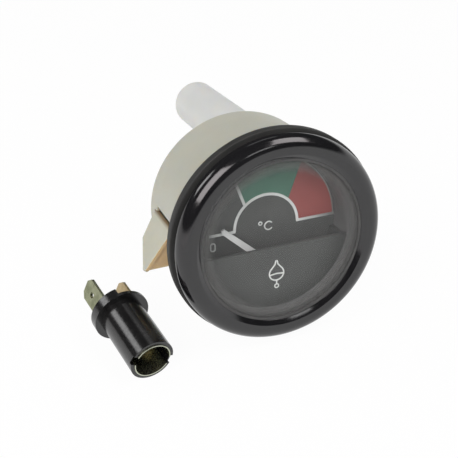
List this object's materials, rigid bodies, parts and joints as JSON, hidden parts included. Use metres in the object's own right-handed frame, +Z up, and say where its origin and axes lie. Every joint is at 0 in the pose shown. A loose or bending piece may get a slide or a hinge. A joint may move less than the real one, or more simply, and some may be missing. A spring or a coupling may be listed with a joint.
{
  "type": "panel temperature gauge with lamp holder",
  "caption": "Round panel temperature gauge with black bezel, snap-in case, sprung side tabs, rear lamp tube and a loose push-in lamp holder lying beside it.",
  "frame": {"origin": "on the gauge axis, in the plane where the gasket meets the panel", "axes": "+X to the right as seen from the dial, +Y away from the dial towards the lamp tube, +Z up from the bench. The gauge lies on its side: its own axis is in the YZ plane and leans 7.64 degrees, so that the gasket and the rear edge of the case both touch the bench"},
  "size_m": [0.0818, 0.0783, 0.058],
  "materials": {
    "bezel_black": "glossy black paint",
    "soft_black": "matt",
    "clear_glass": "clear",
    "shroud_black": "matt",
    "dial_paint": "matt dark grey paint",
    "mask_grey": "matt dark grey",
    "white_print": "printed white",
    "green_print": "printed green",
    "red_print": "printed red",
    "pointer_pale": "satin off-white",
    "steel": "bright plated",
    "magnet": "dull grey",
    "former_plastic": "natural moulding",
    "copper_wire": "enamelled copper",
    "brass": "plain brass",
    "board": "bonded paper board",
    "resistor": "tan coating",
    "case_cream": "satin cream moulding",
    "tube_white": "satin white moulding",
    "holder_black": "glossy black moulding",
    "contact_board": "brown bonded paper",
    "zinc_steel": "zinc plated",
    "tan_brass": "dull brass"
  },
  "bodies": {
    "gauge": {"bezel_ring": "bezel_black", "panel_gasket": "soft_black", "lens_seal": "soft_black", "lens": "clear_glass", "dial_shroud": "shroud_black", "dial_mask": "mask_grey", "mask_pictogram": "white_print", "dial_plate": "dial_paint", "dial_lines": "white_print", "dial_numerals": "white_print", "green_zone": "green_print", "red_zone": "red_print", "front_former": "former_plastic", "rear_former": "former_plastic", "front_bearing": "brass", "rear_bearing": "brass", "inner_coil": "copper_wire", "outer_coil": "copper_wire", "shield_can": "steel", "movement_screws": "steel", "terminal_board": "board", "board_screws": "steel", "calibration_resistor": "resistor", "rear_blades": "brass", "case_shell": "case_cream", "lamp_tube": "tube_white"},
    "pointer": {"pointer": "pointer_pale", "pointer_shaft": "steel", "rotor_magnet": "magnet"},
    "left_tab": {"left_snap_tab": "case_cream"},
    "right_tab": {"right_snap_tab": "case_cream"},
    "lamp_holder": {"holder_body": "holder_black", "bayonet_sleeve": "steel", "steel_blade": "zinc_steel", "brass_blade": "tan_brass", "contact_spring": "steel"},
    "contact_plunger": {"contact_disc": "contact_board", "centre_contact": "brass"}
  },
  "joints": [
    {"name": "pointer_swing", "type": "hinge", "parent": "gauge", "child": "pointer", "pos_m": [0.0003, 0.00036, -0.01013], "axis": [0, 0.9911, -0.133], "range_deg": [0, 97], "stiffness_Nm_per_rad": 0.0003},
    {"name": "left_tab_flex", "type": "hinge", "parent": "gauge", "child": "left_tab", "pos_m": [-0.02521, 0.0136, -0.00016], "axis": [0, -0.9911, 0.133], "range_deg": [0, 47], "stiffness_Nm_per_rad": 0.05},
    {"name": "right_tab_flex", "type": "hinge", "parent": "gauge", "child": "right_tab", "pos_m": [0.02507, 0.0138, 0.00132], "axis": [0, 0.9911, -0.133], "range_deg": [0, 47], "stiffness_Nm_per_rad": 0.05},
    {"name": "holder_away", "type": "slide", "parent": "gauge", "child": "lamp_holder", "axis": [-1, 0, 0], "range_m": [0, 0.06]},
    {"name": "contact_plunge", "type": "slide", "parent": "lamp_holder", "child": "contact_plunger", "axis": [-0.1745, 0.9797, 0.0989], "range_m": [0, 0.0015], "stiffness_N_per_m": 800, "deforming": ["contact_spring"]}
  ]
}
